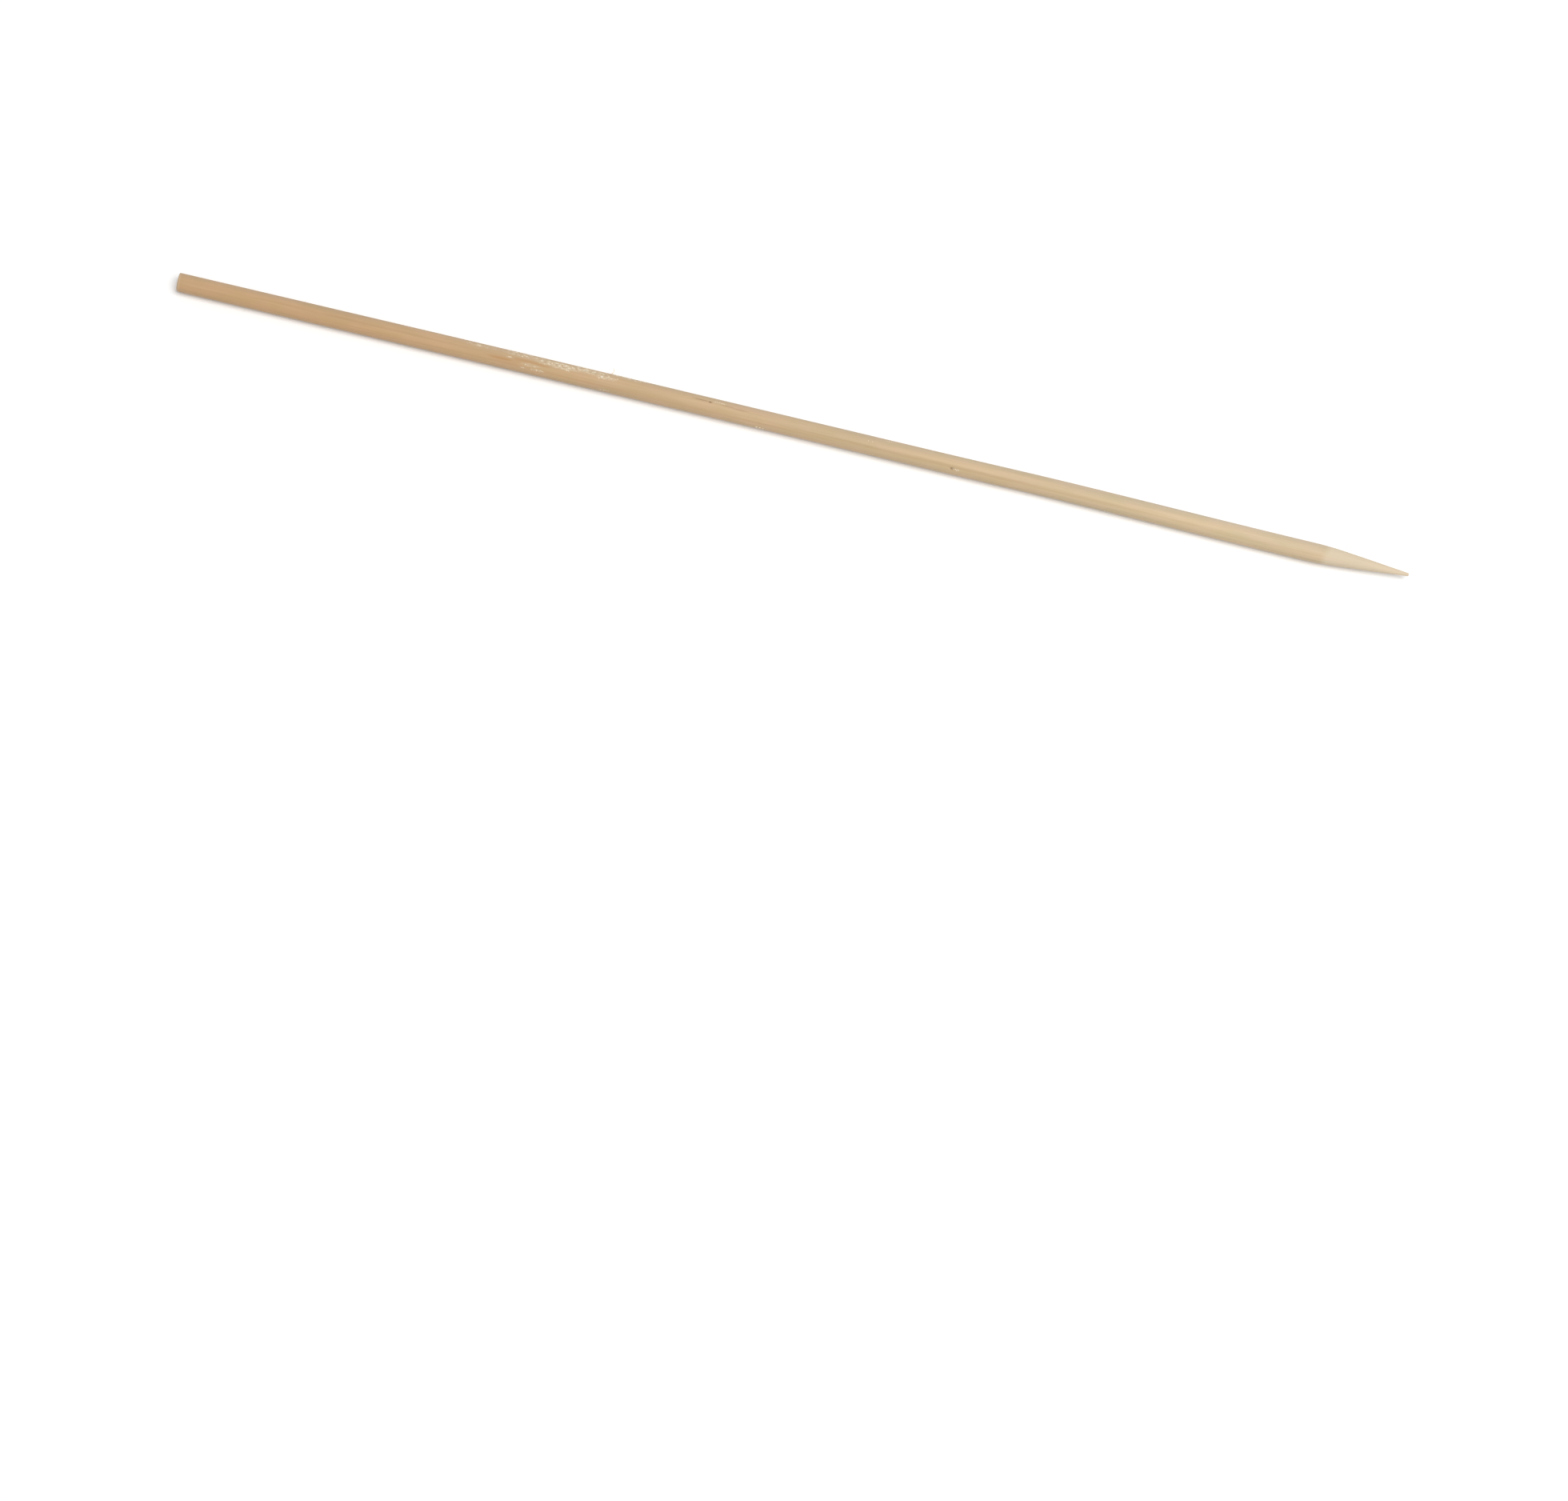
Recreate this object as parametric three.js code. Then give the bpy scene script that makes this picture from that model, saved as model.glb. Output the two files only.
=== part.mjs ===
// A round bamboo skewer, cut square at one end and sharpened to a cone at the other.
// Units are millimetres, with +Z up. It lies along X on the plane Z = 0, with its point towards +X,
// and the middle of its length and width is at the origin.
import * as THREE from "three";

// Driving dimensions
const LENGTH = 200;
const DIAMETER = 3;
const CONE_LENGTH = 13.5; // the sharpened stretch, from its shoulder to the point
const CONE_CROWN = 0.04; // how far the cone's side swells past a straight taper
const TIP_DIAMETER = 0.5; // the small blunt face that is left at the point
const TIP_ROUNDING = 0.15;
const RIM_ROUNDING = 0.3; // the softened edge round the blunt end

// The stick isn't quite straight: it bows to one side over its whole length, and has a slight wave
// over its last stretch.
const BOW = 0.24; // how far its middle stands to the side
const WAVE = 0.1; // how far the wave swings to each side
const WAVE_START = 0.6; // where the wave starts, as a share of the length
const WAVE_EASE = 0.3; // the share of the wave over which it comes in

// How finely the round surface is divided
const SIDES = 32;
const BODY_STEPS = 16;
const CONE_STEPS = 8;
const ARC_STEPS = 3;

const BAMBOO = new THREE.MeshStandardMaterial({
  color: 0xcfb088,
  roughness: 0.6,
  metalness: 0,
});

// The stick's half outline: x is the distance from its middle line, y the distance from the blunt end.
function outline() {
  const radius = DIAMETER / 2;
  const rim = Math.min(RIM_ROUNDING, radius);
  const tip = TIP_DIAMETER / 2;
  const nose = Math.min(TIP_ROUNDING, tip);
  const shoulder = LENGTH - CONE_LENGTH;
  const coneEnd = LENGTH - nose;
  const points = [new THREE.Vector2(0, 0)];

  // Blunt end, with its rim rounded over a quarter circle
  for (let i = 0; i <= ARC_STEPS; i++) {
    const turn = ((i / ARC_STEPS) * Math.PI) / 2;
    points.push(new THREE.Vector2(radius - rim + rim * Math.sin(turn), rim - rim * Math.cos(turn)));
  }

  // Body, up to the cone's shoulder
  for (let i = 1; i <= BODY_STEPS; i++)
    points.push(new THREE.Vector2(radius, rim + ((shoulder - rim) * i) / BODY_STEPS));

  // Cone, a straight taper with a slight crown
  for (let i = 1; i <= CONE_STEPS; i++) {
    const t = i / CONE_STEPS;
    const taper = radius + (tip - radius) * t;
    const crown = CONE_CROWN * 4 * t * (1 - t);
    points.push(new THREE.Vector2(taper + crown, shoulder + (coneEnd - shoulder) * t));
  }

  // Point, rounded into its small blunt face
  for (let i = 1; i <= ARC_STEPS; i++) {
    const turn = ((i / ARC_STEPS) * Math.PI) / 2;
    points.push(new THREE.Vector2(tip - nose + nose * Math.cos(turn), coneEnd + nose * Math.sin(turn)));
  }
  points.push(new THREE.Vector2(0, LENGTH));
  return points;
}

// How far the stick's middle stands to the side at a distance from the blunt end.
function sideways(distance) {
  const { clamp, smoothstep } = THREE.MathUtils;
  const share = distance / LENGTH;
  const along = clamp((share - WAVE_START) / (1 - WAVE_START), 0, 1);
  const wave = Math.sin(2 * Math.PI * along) * smoothstep(along, 0, WAVE_EASE);
  return BOW * Math.sin(Math.PI * share) + WAVE * wave;
}

// The turned solid, laid along X with a facet underneath, then bent sideways.
function stick() {
  const geometry = new THREE.LatheGeometry(outline(), SIDES, Math.PI / SIDES);
  geometry.rotateZ(-Math.PI / 2);
  const position = geometry.getAttribute("position");
  for (let i = 0; i < position.count; i++)
    position.setY(i, position.getY(i) + sideways(position.getX(i)));
  geometry.computeVertexNormals();
  return geometry;
}

const skewer = new THREE.Mesh(stick(), BAMBOO);
skewer.name = "skewer";

const box = new THREE.Box3().setFromObject(skewer);
skewer.position.set(-(box.min.x + box.max.x) / 2, -(box.min.y + box.max.y) / 2, -box.min.z);

const group = new THREE.Group();
group.add(skewer);

export default group;
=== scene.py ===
"""A round bamboo skewer, cut square at one end and sharpened at the other, lying on a white table.

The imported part's frame is used throughout: the stick lies along X with its point towards +X, and the
table is the plane Z = 0. Sizes are in millimetres unless a comment says metres, and MM turns them
into Blender's metres.
"""

import random
from math import asin, atan2, cos, pi, radians, sin, sqrt, tau

import bmesh
import bpy
from mathutils import Matrix, Vector, noise


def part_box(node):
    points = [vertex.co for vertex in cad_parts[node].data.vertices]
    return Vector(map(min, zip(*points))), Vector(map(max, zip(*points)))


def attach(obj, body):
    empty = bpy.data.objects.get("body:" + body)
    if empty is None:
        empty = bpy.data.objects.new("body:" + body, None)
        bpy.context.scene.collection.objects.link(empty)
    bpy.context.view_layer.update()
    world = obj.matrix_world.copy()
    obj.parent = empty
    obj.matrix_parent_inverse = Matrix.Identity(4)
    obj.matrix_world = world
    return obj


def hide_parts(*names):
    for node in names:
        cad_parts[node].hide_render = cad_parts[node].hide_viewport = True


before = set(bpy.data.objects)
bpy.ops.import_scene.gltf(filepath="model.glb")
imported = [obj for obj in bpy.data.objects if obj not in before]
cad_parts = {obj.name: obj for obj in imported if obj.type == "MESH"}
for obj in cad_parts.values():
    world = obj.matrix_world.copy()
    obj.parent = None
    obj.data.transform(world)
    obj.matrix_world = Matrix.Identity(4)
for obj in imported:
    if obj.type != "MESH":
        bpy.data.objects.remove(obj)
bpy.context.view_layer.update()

MM = 0.001
WHITE = (1, 1, 1, 1)

# The stick's form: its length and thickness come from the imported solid
low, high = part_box("skewer")
LENGTH = (high.x - low.x) / MM
RADIUS = (high.z - low.z) / MM / 2
CONE_LENGTH = 13.5
CONE_CROWN = 0.04
TIP_RADIUS = 0.25
TIP_ROUNDING = 0.15
RIM_ROUNDING = 0.3
BOW = 0.24
WAVE = 0.1
WAVE_START = 0.6
WAVE_EASE = 0.3
BEND_SAMPLES = 200

# The side of the stick that faces the camera, as a turn about X from the top towards -Y
CAMERA_SIDE = radians(25.5)

# The cone was ground a little off centre, so its soft shoulder runs slantwise round the stick. It
# starts this far before the cone, and eases body and cone together where they are this near
CONE_OFFSET = 0.04
CONE_OFFSET_TURN = CAMERA_SIDE - pi / 2
SHOULDER_REACH = 3.5
SHOULDER_BLEND = 0.2

# The cone's slight flats, which fade out before the point, and how much of the body's grain it keeps
CONE_FLATS = 0.012
FLATS_FADE = 3
CONE_GRAIN = 0.6

# The saw leaned a little, so the stick is this much shorter on the side that faces the camera. The
# lean fades out over the first stretch of the body
SAW_LEAN = 0.5
SAW_FADE = 4

# How uneven the saw left the face
SAW_UNEVEN = 0.02

# The blunt end's rim is worn more at its near side, by this share, and less at its far side
RIM_UNEVEN = 0.5
RIM_REACH = RIM_ROUNDING * (1 + RIM_UNEVEN)

# How much fresh bamboo shows on the sawn face and on the worn rim, from 0 to 1, and how far the cone
# lies inside the body where it starts to show and where it shows fully
FACE_FRESH = 0.6
RIM_FRESH = 0.35
CONE_FRESH_FROM = -0.03
CONE_FRESH_TO = 0.08

# How finely the surface is divided: steps round it, and the distance between rings
SIDES = 144
BODY_STEP = 0.5
FINE_STEP = 0.2
CONE_STEP = 0.16
FACE_STEP = 0.12
RIM_STEP = 0.24
ARC_STEPS = 6

# The body next to the rim, and the stretches with the torn patch, the crack and the nick, where the
# rings lie closer together, as distances from the blunt end
RIM_TO = 3.0
FINE_STRETCHES = ((46.0, 79.0), (84.6, 95.0), (126.6, 128.6))

# The fibres' ridges fade out over this stretch before the point
GRAIN_FADE = 4

# Where the grain is torn: the distance from the blunt end, and the place across the stick as it is
# seen, from -1 at its far edge to 1 at its near edge; then half the length and half the width of
# the mark, and how strong it is
TORN_MARKS = (
    (51.0, -0.80, 4.4, 0.50, 0.4),
    (57.0, -0.84, 4.4, 0.68, 0.7),
    (63.2, -0.66, 4.8, 0.76, 0.95),
    (68.2, -0.80, 4.2, 0.74, 0.9),
    (70.9, -0.50, 2.0, 0.42, 0.95),
    (74.6, -0.95, 3.6, 0.50, 0.75),
    (58.9, 0.06, 1.8, 0.30, 0.5),
    (60.0, 0.44, 1.3, 0.22, 0.75),
    (57.8, 0.48, 0.7, 0.16, 0.6),
    (55.2, -0.29, 0.7, 0.16, 0.7),
    (64.8, -0.30, 0.8, 0.16, 0.6),
    (70.9, 0.83, 1.2, 0.18, 0.6),
    (89.5, -0.66, 1.3, 0.14, 0.7),
    (96.4, 0.90, 0.9, 0.14, 0.9),
    (117.0, -0.83, 1.0, 0.16, 0.7),
    (127.9, 0.40, 0.7, 0.16, 0.9),
    (152.0, 0.95, 0.6, 0.16, 0.7),
)

# No torn mark, stain or crack reaches outside this stretch
MARKS_FROM = 44.0
MARKS_TO = 154.0

# A mark is whole up to the first share of its half size, and gone at the second
MARK_CORE = 0.45
MARK_EDGE = 1.15

# How strongly the fibres break up a torn mark
TORN_PATCHY = 0.55

# Orange-brown streaks along the torn patch, given in the same way
STAINS = (
    (53.9, 0.03, 2.5, 0.24, 1.1),
    (55.0, -0.03, 4.4, 0.34, 0.5),
    (54.8, 0.30, 2.8, 0.20, 0.4),
    (58.4, -0.26, 3.2, 0.34, 0.7),
    (60.4, -0.20, 1.8, 0.24, 0.7),
)

# A fine brown crack past the torn patch with a small pit along it, and a nick farther on
CRACKS = (
    (86.5, -0.56, 1.7, 0.10, 0.9),
    (87.9, -0.54, 0.34, 0.14, 1.5),
    (90.8, -0.50, 1.4, 0.10, 0.5),
    (92.8, -0.43, 1.5, 0.10, 0.55),
    (127.3, 0.42, 0.30, 0.24, 1.3),
)

# Dents along the crack, at the nick and elsewhere, given like the torn marks but with their depth in
# place of the strength. None reaches farther along the stick than this
DENTS = (
    (86.5, -0.56, 1.7, 0.10, 0.06),
    (87.9, -0.54, 0.34, 0.14, 0.12),
    (91.8, -0.46, 2.4, 0.10, 0.03),
    (127.3, 0.42, 0.36, 0.24, 0.12),
    (152.0, 0.95, 0.5, 0.25, 0.08),
    (31.0, 0.10, 1.6, 0.14, 0.03),
    (169.0, -0.20, 2.2, 0.15, 0.025),
)
DENT_REACH = 4

# Crumbs of pith that stand out: the same kind of place, and their radius
CRUMBS = (
    (50.1, -0.72, 0.06), (55.2, -0.29, 0.10), (57.8, 0.48, 0.09), (59.9, 0.48, 0.11),
    (58.0, 0.05, 0.08), (60.6, 0.36, 0.07), (62.1, -0.62, 0.09), (63.3, -0.49, 0.10),
    (64.7, -0.54, 0.10), (64.9, -0.29, 0.08), (66.9, -0.98, 0.12), (67.5, -0.94, 0.11),
    (69.9, -0.26, 0.08), (70.3, -0.48, 0.13), (70.7, -0.30, 0.09), (71.3, -0.63, 0.13),
    (72.8, -0.62, 0.08), (71.0, 0.83, 0.09), (55.8, -1.0, 0.10), (57.2, -1.0, 0.08),
    (58.4, -1.0, 0.08), (72.2, -1.0, 0.09), (73.8, -0.98, 0.10), (74.4, -1.0, 0.09),
    (89.0, -0.68, 0.08), (90.1, -0.64, 0.07), (95.9, 0.90, 0.10), (96.4, 0.90, 0.11),
    (96.9, 0.90, 0.10), (113.6, -0.41, 0.06), (114.3, -0.41, 0.06), (116.8, -0.83, 0.08),
    (127.9, 0.36, 0.06), (128.1, 0.48, 0.06), (152.0, 0.95, 0.07),
)

# Stretches of the far edge that are fuzzy with shreds, and how many there are in a millimetre
FUZZY_EDGE = ((54.5, 59.5), (66.0, 68.2), (71.5, 76.5), (20.0, 21.5), (42.0, 46.0))
EDGE_SHREDS = 5

# How many shreds and small crumbs a mark of full strength has for each MARK_SPAN of its half length
MARK_SHREDS = 5
MARK_CRUMBS = 9
MARK_SPAN = 3

# The longest shreds on the torn marks and on the fuzzy edge
MARK_SHRED_LENGTH = 0.8
EDGE_SHRED_LENGTH = 0.6

# One curled fibre at the far edge: where it stands, its radius, its height, how far it swings along
# the stick and through what angle in radians
CURL_AT = 71.5
CURL_RADIUS = 0.08
CURL_HEIGHT = 1.0
CURL_SWING = 0.28
CURL_ANGLE = 2.6

# A loose fibre's sides and rings, how thin it gets, and how deep it is rooted
STRAND_SIDES = 6
STRAND_CUTS = 7
STRAND_TAPER = 0.35
ROOT_DEPTH = 0.03

SEED = 7

# The camera: its place in metres, its turn about Z and how far it looks down put the blunt end at
# (223, 352) and the point at (1761, 718) of the photograph's 1960 x 1876 pixels. It sees nothing
# nearer than CLIP_START, in metres
LENS = 100.0
SENSOR_WIDTH = 36
CLIP_START = 0.01
CAMERA_PLACE = Vector((0.07758, -0.29328, 0.61620))
CAMERA_TURN = radians(14.822)
CAMERA_DOWN = radians(68)

# The table's half width in metres, and how much it glows to the camera beside its own colour
TABLE_SIZE = 4
TABLE_LIFT = 0.09

# How strongly the studio lights the stick, and the one lamp: its place and size in metres, and watts
WORLD_LIGHT = 0.44
KEY_PLACE = Vector((0.9, -0.24, 2.3))
KEY_SIZE = 1.6
KEY_POWER = 46.0


def smooth(value, start, end):
    """0 before start, 1 after end, and an even S between them."""
    share = min(max((value - start) / (end - start), 0.0), 1.0)
    return share * share * (3 - 2 * share)


def softer_of(first, second, blend):
    """The smaller of two lengths, eased into each other where they are nearer than the blend."""
    near = max(blend - abs(first - second), 0.0) / blend
    return min(first, second) - near**2 * blend / 4


def sideways(distance):
    """How far the stick's middle stands to the side at a distance from the blunt end."""
    share = distance / LENGTH
    along = min(max((share - WAVE_START) / (1 - WAVE_START), 0.0), 1.0)
    return BOW * sin(pi * share) + WAVE * sin(tau * along) * smooth(along, 0, WAVE_EASE)


# The shift that puts the bent stick's middle on the X axis
BEND = [sideways(LENGTH * i / BEND_SAMPLES) for i in range(BEND_SAMPLES + 1)]
MIDDLE = -(max(BEND) + min(BEND)) / 2


def cone_radius(distance):
    """The cone's own radius, which runs on past the stick's surface before its shoulder."""
    t = (distance - (LENGTH - CONE_LENGTH)) / (CONE_LENGTH - TIP_ROUNDING)
    return RADIUS + (TIP_RADIUS - RADIUS) * t + CONE_CROWN * 4 * max(t, 0) * (1 - t)


def spaced(start, end, step):
    """Even stops after start, up to end, about a step apart."""
    count = max(1, round((end - start) / step))
    return [start + (end - start) * i / count for i in range(1, count + 1)]


def rounding_shares():
    """How far a quarter circle has come, as shares of its radius along and across it."""
    turns = (i / ARC_STEPS * pi / 2 for i in range(1, ARC_STEPS + 1))
    return [(1 - cos(turn), 1 - sin(turn)) for turn in turns]


def half_outline():
    """The stick's half outline as (distance from the blunt end, radius) stops."""
    stops = [(0.0, 0.0)]
    stops += [(0.0, r) for r in spaced(0, RADIUS - RIM_ROUNDING, FACE_STEP)]
    for from_start, from_end in rounding_shares():
        stops.append((RIM_ROUNDING * from_start, RADIUS - RIM_ROUNDING * from_end))
    stretches = [(RIM_ROUNDING, RIM_TO, RIM_STEP)]
    for start, end in FINE_STRETCHES:
        stretches += [(stretches[-1][1], start, BODY_STEP), (start, end, FINE_STEP)]
    shoulder = LENGTH - CONE_LENGTH - SHOULDER_REACH
    stretches.append((stretches[-1][1], shoulder, BODY_STEP))
    stretches.append((shoulder, LENGTH - TIP_ROUNDING, CONE_STEP))
    for start, end, step in stretches:
        stops += [(x, min(RADIUS, cone_radius(x))) for x in spaced(start, end, step)]
    for from_start, from_end in rounding_shares():
        stops.append((LENGTH - TIP_ROUNDING * from_end, TIP_RADIUS - TIP_ROUNDING * from_start))
    stops.append((LENGTH, 0.0))
    return stops


def turned_stick():
    """The smooth straight stick, spun about X from its half outline."""
    shape = bmesh.new()
    outline = [shape.verts.new((x, 0, r)) for x, r in half_outline()]
    edges = [shape.edges.new(pair) for pair in zip(outline, outline[1:])]
    bmesh.ops.spin(
        shape, geom=outline + edges, cent=(0, 0, 0), axis=(1, 0, 0), dvec=(0, 0, 0),
        angle=tau, steps=SIDES, use_merge=True, use_duplicate=False,
    )
    bmesh.ops.remove_doubles(shape, verts=shape.verts, dist=1e-5)
    bmesh.ops.recalc_face_normals(shape, faces=shape.faces)
    return shape


def worn_rim(x, radius, turn):
    """Where a point of the evenly rounded rim, or of the face inside it, lies on the worn one."""
    wear = 1 + RIM_UNEVEN * cos(turn - CAMERA_SIDE - pi / 2)
    flat = RADIUS - RIM_ROUNDING
    if radius <= flat:
        return x, radius * (RADIUS - RIM_ROUNDING * wear) / flat
    if x < RIM_ROUNDING + RIM_STEP / 2:
        return x * wear, RADIUS - (RADIUS - radius) * wear
    return x, radius


def turn_of(across):
    """The turn about X of a place across the stick as the camera sees it."""
    return CAMERA_SIDE + asin(max(-1.0, min(1.0, across)))


def outward_at(turn):
    """The direction straight out of the stick's surface at a turn about X."""
    return Vector((0, -sin(turn), cos(turn)))


def round_at(turn):
    """The direction round the stick's surface at a turn about X."""
    return Vector((0, cos(turn), sin(turn)))


def mark_strength(x, turn, mark):
    """How strongly a mark shows at a place: 1 in its middle, 0 outside it."""
    along, across, half_long, half_wide = mark[:4]
    away = (turn - turn_of(across) + pi) % tau - pi
    reach = sqrt(((x - along) / half_long) ** 2 + (away * RADIUS / half_wide) ** 2)
    return 1 - smooth(reach, MARK_CORE, MARK_EDGE)


def strongest(x, turn, marks):
    """How strongly the marks show at a place, each with its own strength."""
    if not MARKS_FROM < x < MARKS_TO:
        return 0.0
    return max(mark_strength(x, turn, mark) * mark[4] for mark in marks)


def torn_strength(x, turn, point):
    """How torn the grain is at a place, broken up by the fibres."""
    most = strongest(x, turn, TORN_MARKS)
    if most <= 0:
        return 0.0
    patchy = noise.noise(Vector((x * 0.9, point.y * 2.6, point.z * 2.6)))
    return min(max(most + TORN_PATCHY * patchy * most, 0.0), 1.0)


def grain_height(x, point):
    """The height of the fibres' fine ridges along the stick."""
    broad = noise.noise(Vector((x * 0.012, point.y * 0.55, point.z * 0.55)))
    ridges = noise.noise(Vector((x * 0.03 + 7, point.y * 2.4, point.z * 2.4)))
    fine = noise.noise(Vector((x * 0.09 + 31, point.y * 6.5, point.z * 6.5)))
    return 0.016 * broad + 0.012 * ridges + 0.006 * fine


def torn_height(x, point, torn):
    """The height of the lumps, lifted fibres and pits where the grain is torn."""
    lumps = noise.noise(Vector((x * 1.6, point.y * 3.1, point.z * 3.1)))
    shreds = noise.noise(Vector((x * 4.2 + 11, point.y * 7.0, point.z * 7.0)))
    return torn * (0.09 * max(lumps, -0.25) + 0.06 * shreds - 0.02)


def surface_height(x, turn, point, torn):
    """How far the weathered surface stands off the smooth one."""
    height = grain_height(x, point) * smooth(LENGTH - x, 0, GRAIN_FADE)
    if torn:
        height += torn_height(x, point, torn)
    for dent in DENTS:
        if abs(x - dent[0]) < DENT_REACH:
            height -= dent[4] * mark_strength(x, turn, dent)
    if x < RIM_REACH:
        height *= x / RIM_REACH
    return height


def saw_shift(x, radius, turn):
    """How far the leaning saw cut shifts a place along the stick."""
    facing = radius * cos(turn - CAMERA_SIDE)
    return SAW_LEAN * (1 + facing / RADIUS) / 2 * smooth(SAW_FADE - x, 0, SAW_FADE)


def saw_marks(point, radius):
    """How far the uneven sawn face lies off a flat one, which it does less towards its rim."""
    saw = noise.noise(Vector((3.0, point.y * 2.2, point.z * 2.2)))
    pores = noise.noise(Vector((9.0, point.y * 8.0, point.z * 8.0)))
    return SAW_UNEVEN * (1 - (radius / RADIUS) ** 2) * (saw + 0.5 * pores)


def ground_radius(x, turn, radius, height):
    """The radius of the cone as it was ground: off centre, with slight flats and some grain."""
    own = cone_radius(x) if x < LENGTH - TIP_ROUNDING else radius
    lean = CONE_OFFSET * cos(turn - CONE_OFFSET_TURN) * smooth(LENGTH - x, 0, CONE_LENGTH)
    faceting = noise.noise(Vector((x * 0.12, turn * 1.1, 5.0)))
    flats = CONE_FLATS * faceting * smooth(LENGTH - x, 0, FLATS_FADE)
    return own + lean + flats + height * CONE_GRAIN


def weather(shape):
    """Gives the smooth stick its worn surface, and notes on the mesh what shows where."""
    layers = shape.verts.layers
    torn_layer = layers.float.new("torn")
    cut_layer = layers.float.new("fresh_cut")
    sawn_layer = layers.float.new("sawn")
    stain_layer = layers.float.new("stain")
    crack_layer = layers.float.new("crack")
    grain_layer = layers.float_vector.new("grain")
    for vert in shape.verts:
        point = vert.co.copy()
        turn = atan2(-point.y, point.z)
        x, radius = point.x, sqrt(point.y**2 + point.z**2)
        if x < LENGTH / 2:
            x, radius = worn_rim(x, radius, turn)
        vert[grain_layer] = point * MM
        shifted = x + saw_shift(x, radius, turn)

        if x == 0:
            place = shifted + saw_marks(point, radius)
            vert.co = Vector((place, 0, 0)) + outward_at(turn) * radius
            vert[cut_layer] = FACE_FRESH
            vert[sawn_layer] = 1.0
            continue

        torn = torn_strength(x, turn, point)
        height = surface_height(x, turn, point, torn)
        vert[torn_layer] = torn
        vert[stain_layer] = strongest(x, turn, STAINS)
        vert[crack_layer] = strongest(x, turn, CRACKS)
        if x < RIM_REACH:
            vert[cut_layer] = RIM_FRESH
        worn_radius = radius + height
        if x > LENGTH - CONE_LENGTH - SHOULDER_REACH:
            body = RADIUS + height
            cone = ground_radius(x, turn, radius, height)
            vert[cut_layer] = smooth(body - cone, CONE_FRESH_FROM, CONE_FRESH_TO)
            worn_radius = softer_of(body, cone, SHOULDER_BLEND)
        if radius > 1e-6:
            vert.co = Vector((shifted, 0, 0)) + outward_at(turn) * max(worn_radius, 0.0)


def lay_down(shape):
    """Bends the stick sideways, turns millimetres into metres and lays it on the table."""
    for vert in shape.verts:
        vert.co.y += MIDDLE + sideways(vert.co.x)
        vert.co.x -= LENGTH / 2
    bmesh.ops.scale(shape, vec=(MM, MM, MM), verts=shape.verts)
    lowest = min(vert.co.z for vert in shape.verts)
    bmesh.ops.translate(shape, vec=(0, 0, -lowest), verts=shape.verts)


def finished(name, shape, material):
    """Turns a bmesh into a smooth-shaded object of one material."""
    mesh = bpy.data.meshes.new(name)
    for face in shape.faces:
        face.smooth = True
    shape.to_mesh(mesh)
    shape.free()
    mesh.materials.append(material)
    piece = bpy.data.objects.new(name, mesh)
    bpy.context.scene.collection.objects.link(piece)
    return piece


def stick_place(x, turn, height):
    """A point on the lying stick, in metres, at a distance from the blunt end and a turn about X."""
    reach = RADIUS + height
    y = -sin(turn) * reach + MIDDLE + sideways(x)
    return Vector((x - LENGTH / 2, y, RADIUS + cos(turn) * reach)) * MM


# Materials


def new_material(name):
    """An empty node material with its output and a Principled shader."""
    material = bpy.data.materials.new(name)
    material.use_nodes = True
    nodes = material.node_tree.nodes
    nodes.clear()
    output = nodes.new("ShaderNodeOutputMaterial")
    shader = nodes.new("ShaderNodeBsdfPrincipled")
    material.node_tree.links.new(shader.outputs[0], output.inputs[0])
    return material, nodes, material.node_tree.links, shader


def srgb(red, green, blue):
    """A colour read off the photograph and adjusted, 0 to 255, as Blender's linear values."""
    def linear(value):
        value /= 255
        return value / 12.92 if value <= 0.04045 else ((value + 0.055) / 1.055) ** 2.4
    return (linear(red), linear(green), linear(blue), 1.0)


def feed(links, socket, value):
    """Links a socket to another, or sets it to a plain value."""
    if isinstance(value, bpy.types.NodeSocket):
        links.new(value, socket)
    else:
        socket.default_value = value


def attribute(nodes, name):
    """What the mesh notes under a name."""
    node = nodes.new("ShaderNodeAttribute")
    node.attribute_name = name
    return node


def ramp(nodes, links, factor, stops):
    """A colour ramp with the given (place, colour) stops, read at a factor."""
    node = nodes.new("ShaderNodeValToRGB")
    elements = node.color_ramp.elements
    while len(elements) < len(stops):
        elements.new(0.5)
    for element, (place, colour) in zip(elements, stops):
        element.position = place
        element.color = colour
    links.new(factor, node.inputs[0])
    return node.outputs[0]


def stretched(nodes, links, source, scale, shift=(0, 0, 0)):
    """Coordinates scaled along and across the fibres."""
    mapping = nodes.new("ShaderNodeMapping")
    mapping.inputs["Scale"].default_value = scale
    mapping.inputs["Location"].default_value = shift
    links.new(source, mapping.inputs["Vector"])
    return mapping.outputs["Vector"]


def grain_noise(nodes, links, source, scale, shift=(0, 0, 0), detail=2.0, roughness=0.5):
    """Noise drawn out along the fibres."""
    texture = nodes.new("ShaderNodeTexNoise")
    texture.inputs["Scale"].default_value = 1.0
    texture.inputs["Detail"].default_value = detail
    texture.inputs["Roughness"].default_value = roughness
    links.new(stretched(nodes, links, source, scale, shift), texture.inputs["Vector"])
    return texture.outputs["Fac"]


def soft_mask(nodes, links, value, start, end):
    """0 at start, 1 at end, and an even S between them."""
    node = nodes.new("ShaderNodeMapRange")
    node.interpolation_type = "SMOOTHSTEP"
    node.inputs["From Min"].default_value = start
    node.inputs["From Max"].default_value = end
    links.new(value, node.inputs["Value"])
    return node.outputs["Result"]


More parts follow.
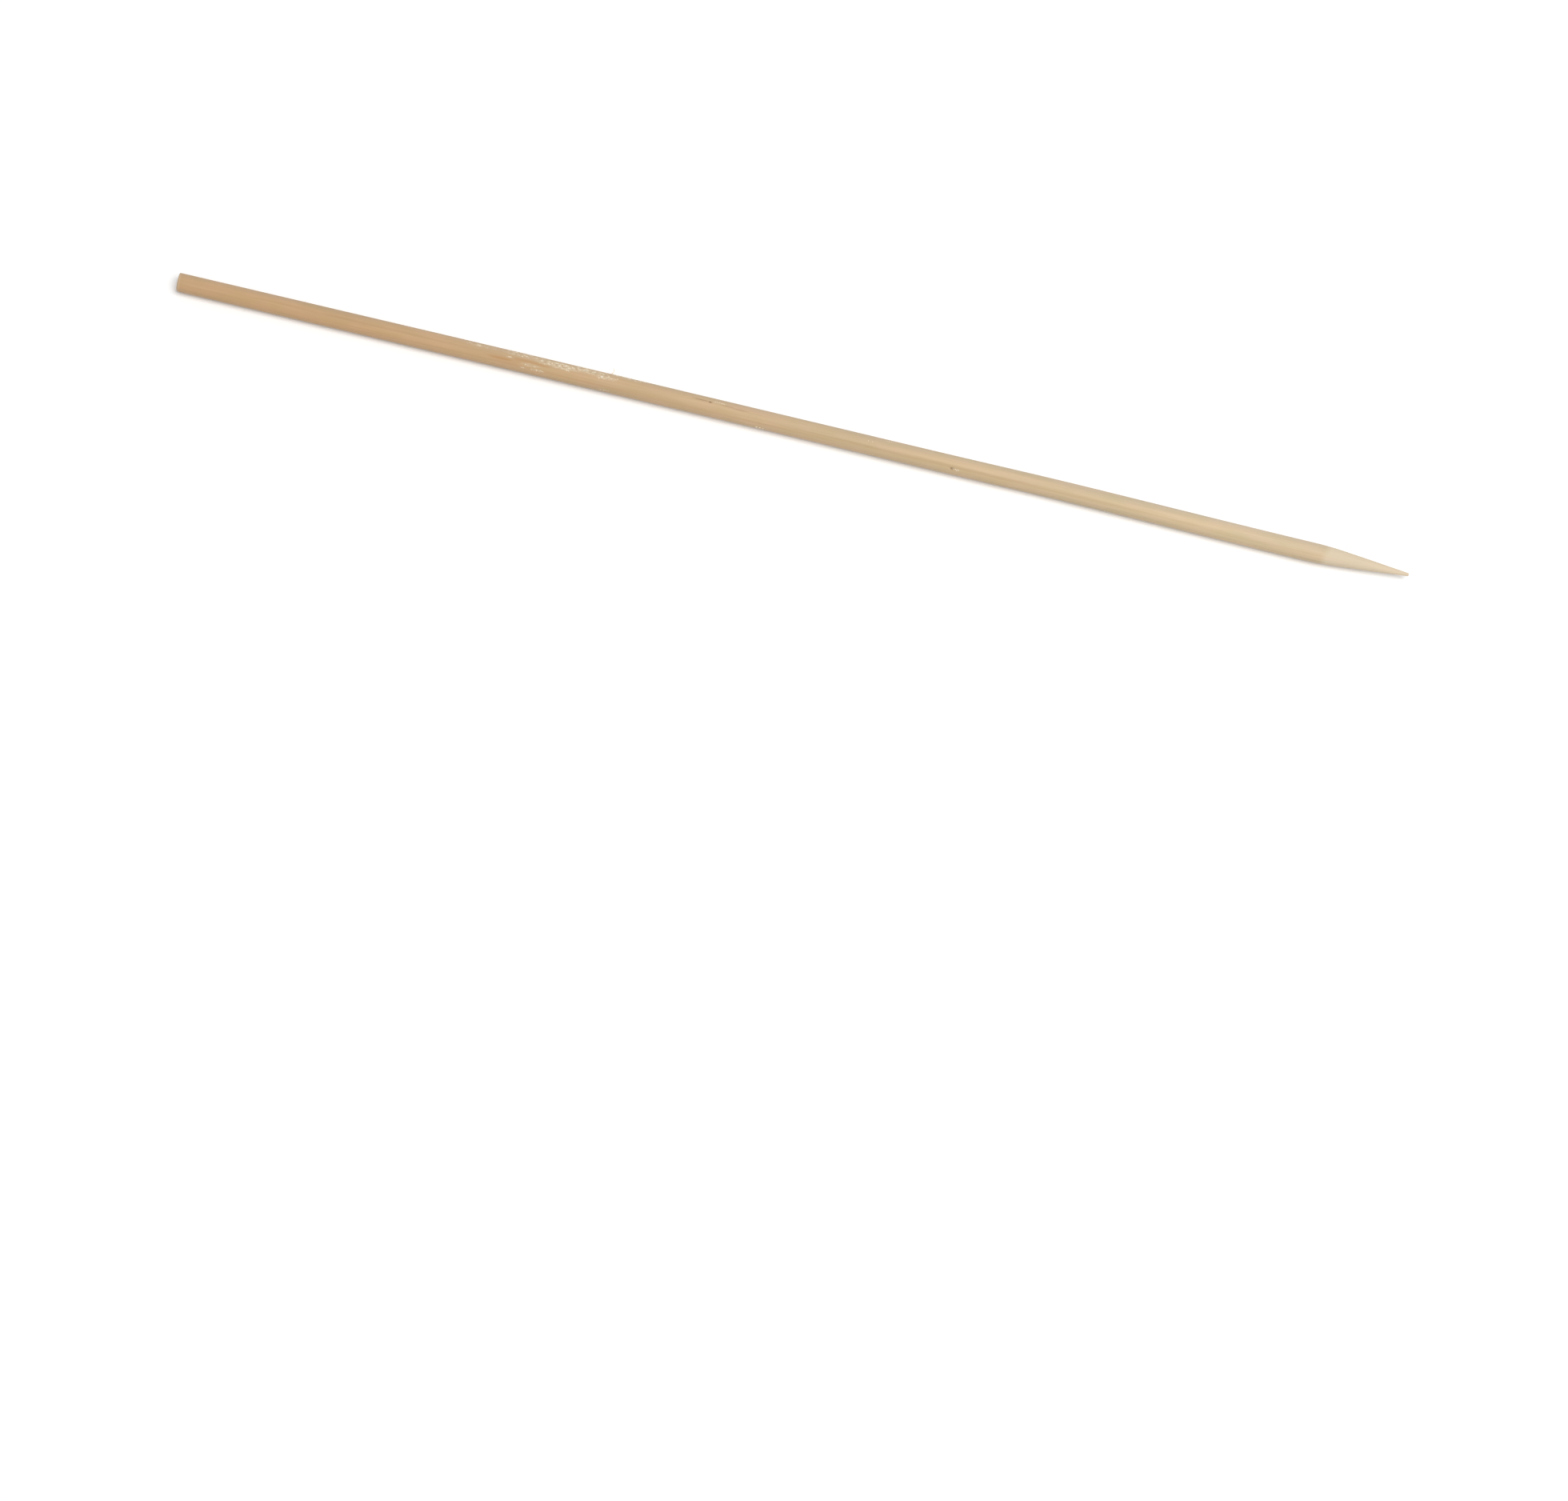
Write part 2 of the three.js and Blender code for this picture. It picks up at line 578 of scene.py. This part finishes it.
def cell_middles(nodes, links, place, scale, randomness, edge, core):
    """A mask that shows the middles of scattered cells, from nothing at edge to whole at core."""
    cells = nodes.new("ShaderNodeTexVoronoi")
    cells.inputs["Scale"].default_value = scale
    cells.inputs["Randomness"].default_value = randomness
    links.new(place, cells.inputs["Vector"])
    return soft_mask(nodes, links, cells.outputs["Distance"], edge, core)


def mixed(nodes, links, factor, first, second, blend="MIX"):
    """Two colours mixed by a factor, any of which may be a socket or a value."""
    node = nodes.new("ShaderNodeMix")
    node.data_type = "RGBA"
    node.blend_type = blend
    feed(links, node.inputs[0], factor)
    feed(links, node.inputs[6], first)
    feed(links, node.inputs[7], second)
    return node.outputs[2]


def tinted(nodes, links, colour, tint):
    """A colour multiplied by a tint."""
    return mixed(nodes, links, 1.0, colour, tint, "MULTIPLY")


def tinted_where(nodes, links, mask, colour, tint):
    """A colour multiplied by a tint as far as a mask shows."""
    return mixed(nodes, links, mask, colour, tinted(nodes, links, colour, tint))


def worked_out(nodes, links, operation, first, second):
    """One step of arithmetic on sockets or values."""
    node = nodes.new("ShaderNodeMath")
    node.operation = operation
    feed(links, node.inputs[0], first)
    feed(links, node.inputs[1], second)
    return node.outputs[0]


def body_colour_and_painted_sheen(nodes, links, place):
    """The body's tone: warmer at the blunt end, paler at the point, with a painted cool sheen on its far
    side.
    """
    split = nodes.new("ShaderNodeSeparateXYZ")
    links.new(place, split.inputs[0])
    share = worked_out(nodes, links, "DIVIDE", split.outputs["X"], LENGTH)
    tone = ramp(nodes, links, share, ((0.15, srgb(193, 160, 120)), (0.86, srgb(208, 188, 155))))

    # Slow drifts between pinkish and greyish stretches
    drift = grain_noise(nodes, links, place, (0.05, 0.8, 0.8))
    drift_tint = ramp(nodes, links, drift, ((0.3, (0.94, 0.95, 0.93, 1)), (0.7, (1.04, 1.0, 0.97, 1))))
    colour = tinted(nodes, links, tone, drift_tint)

    # The far side, as the camera sees it, is tinted a little greyer and bluer: a painted cool sheen of sky
    # light, with some of the bamboo's own greyer tone
    aside = nodes.new("ShaderNodeVectorMath")
    aside.operation = "DOT_PRODUCT"
    aside.inputs[1].default_value = outward_at(CAMERA_SIDE - pi / 2)
    links.new(place, aside.inputs[0])
    painted_sky_sheen = soft_mask(nodes, links, aside.outputs["Value"], 0.1 * RADIUS, 0.95 * RADIUS)
    colour = tinted_where(nodes, links, painted_sky_sheen, colour, (0.97, 1.02, 1.12, 1))

    # Faint blotches, yellower and pinker
    blotch = grain_noise(nodes, links, place, (0.22, 0.7, 0.7), (0, 9, 0), detail=1.0)
    blotch_tint = ramp(nodes, links, blotch, ((0.35, (0.98, 0.98, 0.94, 1)), (0.65, (1.03, 1.0, 1.02, 1))))
    return tinted(nodes, links, colour, blotch_tint)


def bamboo():
    """Bare bamboo: bundles of fibres along the stick in paler pith, paler still where it was cut."""
    material, nodes, links, shader = new_material("bamboo")
    noted = ("torn", "fresh_cut", "sawn", "stain", "crack")
    torn, cut, sawn, stain, crack = (attribute(nodes, name).outputs["Fac"] for name in noted)
    grain = attribute(nodes, "grain").outputs["Vector"]
    place = stretched(nodes, links, grain, (1 / MM, 1 / MM, 1 / MM))
    colour = body_colour_and_painted_sheen(nodes, links, place)

    # Bundles of fibres: long broken streaks along the side
    streaks = stretched(nodes, links, place, (0.008, 1.55, 1.55))
    bundles = cell_middles(nodes, links, streaks, 1.0, 0.85, 0.42, 0.16)
    broken = grain_noise(nodes, links, place, (0.12, 1.4, 1.4), (5, 0, 0))
    bundles = worked_out(nodes, links, "MULTIPLY", bundles, broken)
    colour = tinted_where(nodes, links, bundles, colour, (0.88, 0.84, 0.79, 1))

    # Single fibres, light and dark
    fibres = grain_noise(nodes, links, place, (0.1, 7.5, 7.5), (0, 3, 0), detail=4.0, roughness=0.65)
    fibre_tint = ramp(nodes, links, fibres, ((0.25, (0.92, 0.9, 0.87, 1)), (0.75, (1.05, 1.055, 1.06, 1))))
    colour = tinted(nodes, links, colour, fibre_tint)

    # The sharpened cone, the rim and the sawn face show fresh, paler bamboo
    fresh = worked_out(nodes, links, "MULTIPLY", cut, 0.55)
    colour = mixed(nodes, links, fresh, colour, srgb(226, 210, 186))

    # The sawn face shows the ends of the fibre bundles as small brown dots
    dots = cell_middles(nodes, links, place, 2.4, 0.8, 0.42, 0.2)
    dots = worked_out(nodes, links, "MULTIPLY", dots, sawn)
    colour = tinted_where(nodes, links, dots, colour, (0.76, 0.66, 0.55, 1))

    # Orange-brown streaks beside the torn grain, stronger in some fibres than in others
    stained = worked_out(nodes, links, "MULTIPLY", stain, fibres)
    stained = worked_out(nodes, links, "MULTIPLY", stained, 1.35)
    colour = mixed(nodes, links, stained, colour, srgb(180, 134, 84))

    # The crack, its pit and the nick are a greyer brown
    cracked = worked_out(nodes, links, "MULTIPLY", crack, 0.7)
    colour = mixed(nodes, links, cracked, colour, srgb(134, 102, 66))

    # Torn grain: pale warm pith, with whitish shreds that are painted glints and a few darker hollows that
    # are painted shade
    shreds = grain_noise(nodes, links, place, (1.7, 3.4, 3.4), detail=3.0)
    # The ramp's whitish top stop is a painted highlight and its darkest stop is painted shade; the stops
    # between are the pith's own colour
    pith = ramp(nodes, links, shreds, (
        (0.34, srgb(186, 161, 130)),
        (0.44, srgb(204, 182, 151)),
        (0.56, srgb(215, 197, 168)),
        (0.68, srgb(243, 232, 210)),
    ))
    bared = worked_out(nodes, links, "MULTIPLY", torn, 0.8)
    colour = mixed(nodes, links, bared, colour, pith)
    links.new(colour, shader.inputs["Base Color"])

    # Satin on the worn body, dull where it was cut or torn
    satin = nodes.new("ShaderNodeMapRange")
    satin.inputs["To Min"].default_value = 0.42
    satin.inputs["To Max"].default_value = 0.62
    links.new(fibres, satin.inputs["Value"])
    dull = worked_out(nodes, links, "MAXIMUM", torn, cut)
    dull = worked_out(nodes, links, "MULTIPLY", dull, 0.25)
    rough = worked_out(nodes, links, "ADD", satin.outputs["Result"], dull)
    links.new(rough, shader.inputs["Roughness"])

    # The fibres and bundles as a fine bump
    bump = nodes.new("ShaderNodeBump")
    bump.inputs["Strength"].default_value = 0.35
    bump.inputs["Distance"].default_value = 0.02 * MM
    raised = worked_out(nodes, links, "MULTIPLY", bundles, 0.6)
    links.new(worked_out(nodes, links, "ADD", fibres, raised), bump.inputs["Height"])
    links.new(bump.outputs["Normal"], shader.inputs["Normal"])
    return material


def loose_fibre():
    """Loose fibres and crumbs: dry, pale and dull."""
    material, nodes, links, shader = new_material("loose_fibre")
    coordinates = nodes.new("ShaderNodeTexCoord").outputs["Object"]
    flecks = grain_noise(nodes, links, coordinates, (0.6 / MM, 2 / MM, 2 / MM))
    tone = ramp(nodes, links, flecks, ((0.35, srgb(224, 202, 168)), (0.62, srgb(249, 239, 219))))
    links.new(tone, shader.inputs["Base Color"])
    shader.inputs["Roughness"].default_value = 0.8
    return material


def table():
    """A plain matt white table."""
    material, nodes, links, shader = new_material("table")
    shader.inputs["Base Color"].default_value = (0.93, 0.93, 0.93, 1)
    shader.inputs["Roughness"].default_value = 0.9
    shader.inputs["Specular IOR Level"].default_value = 0.1
    shader.inputs["Emission Color"].default_value = WHITE
    seen = nodes.new("ShaderNodeLightPath").outputs["Is Camera Ray"]
    glow = worked_out(nodes, links, "MULTIPLY", seen, TABLE_LIFT)
    links.new(glow, shader.inputs["Emission Strength"])
    return material


# Pieces


def make_stick(material):
    """The whole stick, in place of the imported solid."""
    shape = turned_stick()
    weather(shape)
    lay_down(shape)
    piece = finished("bamboo_stick", shape, material)
    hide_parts("skewer")
    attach(piece, "root")


def add_strand(shape, x, turn, radius, path):
    """A loose fibre rooted in the surface; path gives how far it has run along the stick, round it
    and out of it at a share of its length."""
    strand = bmesh.new()
    bmesh.ops.create_cone(
        strand, cap_ends=True, segments=STRAND_SIDES, depth=1,
        radius1=radius, radius2=radius * STRAND_TAPER,
    )
    long_edges = [e for e in strand.edges if abs(e.verts[0].co.z - e.verts[1].co.z) > 0.5]
    bmesh.ops.subdivide_edges(strand, edges=long_edges, cuts=STRAND_CUTS, use_grid_fill=True)
    out = outward_at(turn)
    side = round_at(turn)
    root = stick_place(x, turn, -ROOT_DEPTH)

    def middle(share):
        run, round_it, rise = path(share)
        return Vector((run, 0, 0)) + side * round_it + out * rise

    for vert in strand.verts:
        share = vert.co.z + 0.5
        heading = middle(share + 0.01) - middle(share - 0.01)
        across = heading.to_track_quat("Z", "Y") @ Vector((vert.co.x, vert.co.y, 0))
        vert.co = root + (middle(share) + across) * MM
    joined = bpy.data.meshes.new("strand")
    strand.to_mesh(joined)
    strand.free()
    shape.from_mesh(joined)
    bpy.data.meshes.remove(joined)


def add_shred(shape, x, turn, chance, longest):
    """A short shred that lifts away as it runs along the grain."""
    length = chance.uniform(0.3, 1) * longest
    lift = chance.uniform(0.1, 0.35) * length
    sway = chance.uniform(-0.3, 0.3) * length
    radius = chance.uniform(0.011, 0.02)
    add_strand(shape, x, turn, radius, lambda share: (length * share, sway * share**2, lift * share**2))


def add_crumb(shape, x, turn, radius, chance):
    """A ragged crumb of pith, partly sunk in the surface and longer along the grain."""
    made = bmesh.ops.create_icosphere(shape, subdivisions=2, radius=radius * MM)
    out = outward_at(turn)
    side = round_at(turn)
    middle = stick_place(x, turn, -0.2 * radius)
    stretch = chance.uniform(1.1, 1.8)
    slant = chance.uniform(-0.5, 0.5)
    own_place = Vector((x * 9, turn * 9, 0))
    for vert in made["verts"]:
        ragged = 1 + 0.75 * noise.noise(vert.co / (radius * MM) * 2.3 + own_place)
        local = vert.co * ragged
        along = local.x * stretch
        spread = side * (local.y + along * slant)
        vert.co = middle + Vector((along, 0, 0)) + spread + out * local.z * 0.65


def make_loose_fibres(material):
    """The crumbs and shreds on the torn marks and the fuzzy edge, and the one curled fibre."""
    chance = random.Random(SEED)
    shape = bmesh.new()
    for along, across, radius in CRUMBS:
        add_crumb(shape, along, turn_of(across), radius, chance)
    for along, across, half_long, half_wide, strength in TORN_MARKS:
        for _ in range(round(MARK_SHREDS * strength * half_long / MARK_SPAN)):
            x = along + chance.uniform(-0.8, 0.8) * half_long
            turn = turn_of(across) + chance.uniform(-0.8, 0.8) * half_wide / RADIUS
            add_shred(shape, x, turn, chance, MARK_SHRED_LENGTH)
        for _ in range(round(MARK_CRUMBS * strength * half_long / MARK_SPAN)):
            x = along + chance.uniform(-0.7, 0.7) * half_long
            turn = turn_of(across) + chance.uniform(-0.7, 0.7) * half_wide / RADIUS
            add_crumb(shape, x, turn, chance.uniform(0.025, 0.08), chance)
    far_edge = turn_of(-1.0)
    for start, end in FUZZY_EDGE:
        for _ in range(round((end - start) * EDGE_SHREDS)):
            turn = far_edge + chance.uniform(-0.15, 0.15)
            add_shred(shape, chance.uniform(start, end), turn, chance, EDGE_SHRED_LENGTH)
    add_strand(shape, CURL_AT, far_edge, CURL_RADIUS,
               lambda share: (CURL_SWING * sin(CURL_ANGLE * share), 0, CURL_HEIGHT * share))
    bmesh.ops.recalc_face_normals(shape, faces=shape.faces)
    piece = finished("loose_fibres", shape, material)
    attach(piece, "root")


def make_floor(material):
    """The table that the stick lies on."""
    shape = bmesh.new()
    bmesh.ops.create_grid(shape, x_segments=1, y_segments=1, size=TABLE_SIZE)
    finished("floor", shape, material)


# Stage


def make_light(name, place, target, size, power):
    """A soft square lamp at a place, facing a target."""
    lamp = bpy.data.lights.new(name, "AREA")
    lamp.size = size
    lamp.energy = power
    holder = bpy.data.objects.new(name, lamp)
    bpy.context.scene.collection.objects.link(holder)
    facing = (target - place).to_track_quat("-Z", "Y").to_matrix().to_4x4()
    holder.matrix_world = Matrix.Translation(place) @ facing


def make_world():
    """A plain studio: white where the camera or a reflection sees it, softer where it gives light."""
    world = bpy.data.worlds.new("studio")
    bpy.context.scene.world = world
    world.use_nodes = True
    nodes, links = world.node_tree.nodes, world.node_tree.links
    nodes.clear()

    def background(strength):
        node = nodes.new("ShaderNodeBackground")
        node.inputs["Color"].default_value = WHITE
        node.inputs["Strength"].default_value = strength
        return node.outputs[0]

    rays = nodes.new("ShaderNodeLightPath").outputs
    either = worked_out(nodes, links, "MAXIMUM", rays["Is Camera Ray"], rays["Is Glossy Ray"])
    mix = nodes.new("ShaderNodeMixShader")
    links.new(either, mix.inputs[0])
    links.new(background(WORLD_LIGHT), mix.inputs[1])
    links.new(background(1.0), mix.inputs[2])
    output = nodes.new("ShaderNodeOutputWorld")
    links.new(mix.outputs[0], output.inputs[0])


def make_camera():
    """The camera that sees the stick as the photograph does."""
    camera = bpy.data.cameras.new("camera")
    camera.lens = LENS
    camera.sensor_width = SENSOR_WIDTH
    camera.clip_start = CLIP_START
    holder = bpy.data.objects.new("camera", camera)
    bpy.context.scene.collection.objects.link(holder)
    holder.matrix_world = (
        Matrix.Translation(CAMERA_PLACE)
        @ Matrix.Rotation(CAMERA_TURN, 4, "Z")
        @ Matrix.Rotation(pi / 2 - CAMERA_DOWN, 4, "X")
    )
    bpy.context.scene.camera = holder


make_camera()
make_world()
make_light("key", KEY_PLACE, Vector((0, 0, 0)), KEY_SIZE, KEY_POWER)
bpy.context.scene.view_settings.view_transform = "Standard"

make_floor(table())
make_stick(bamboo())
make_loose_fibres(loose_fibre())
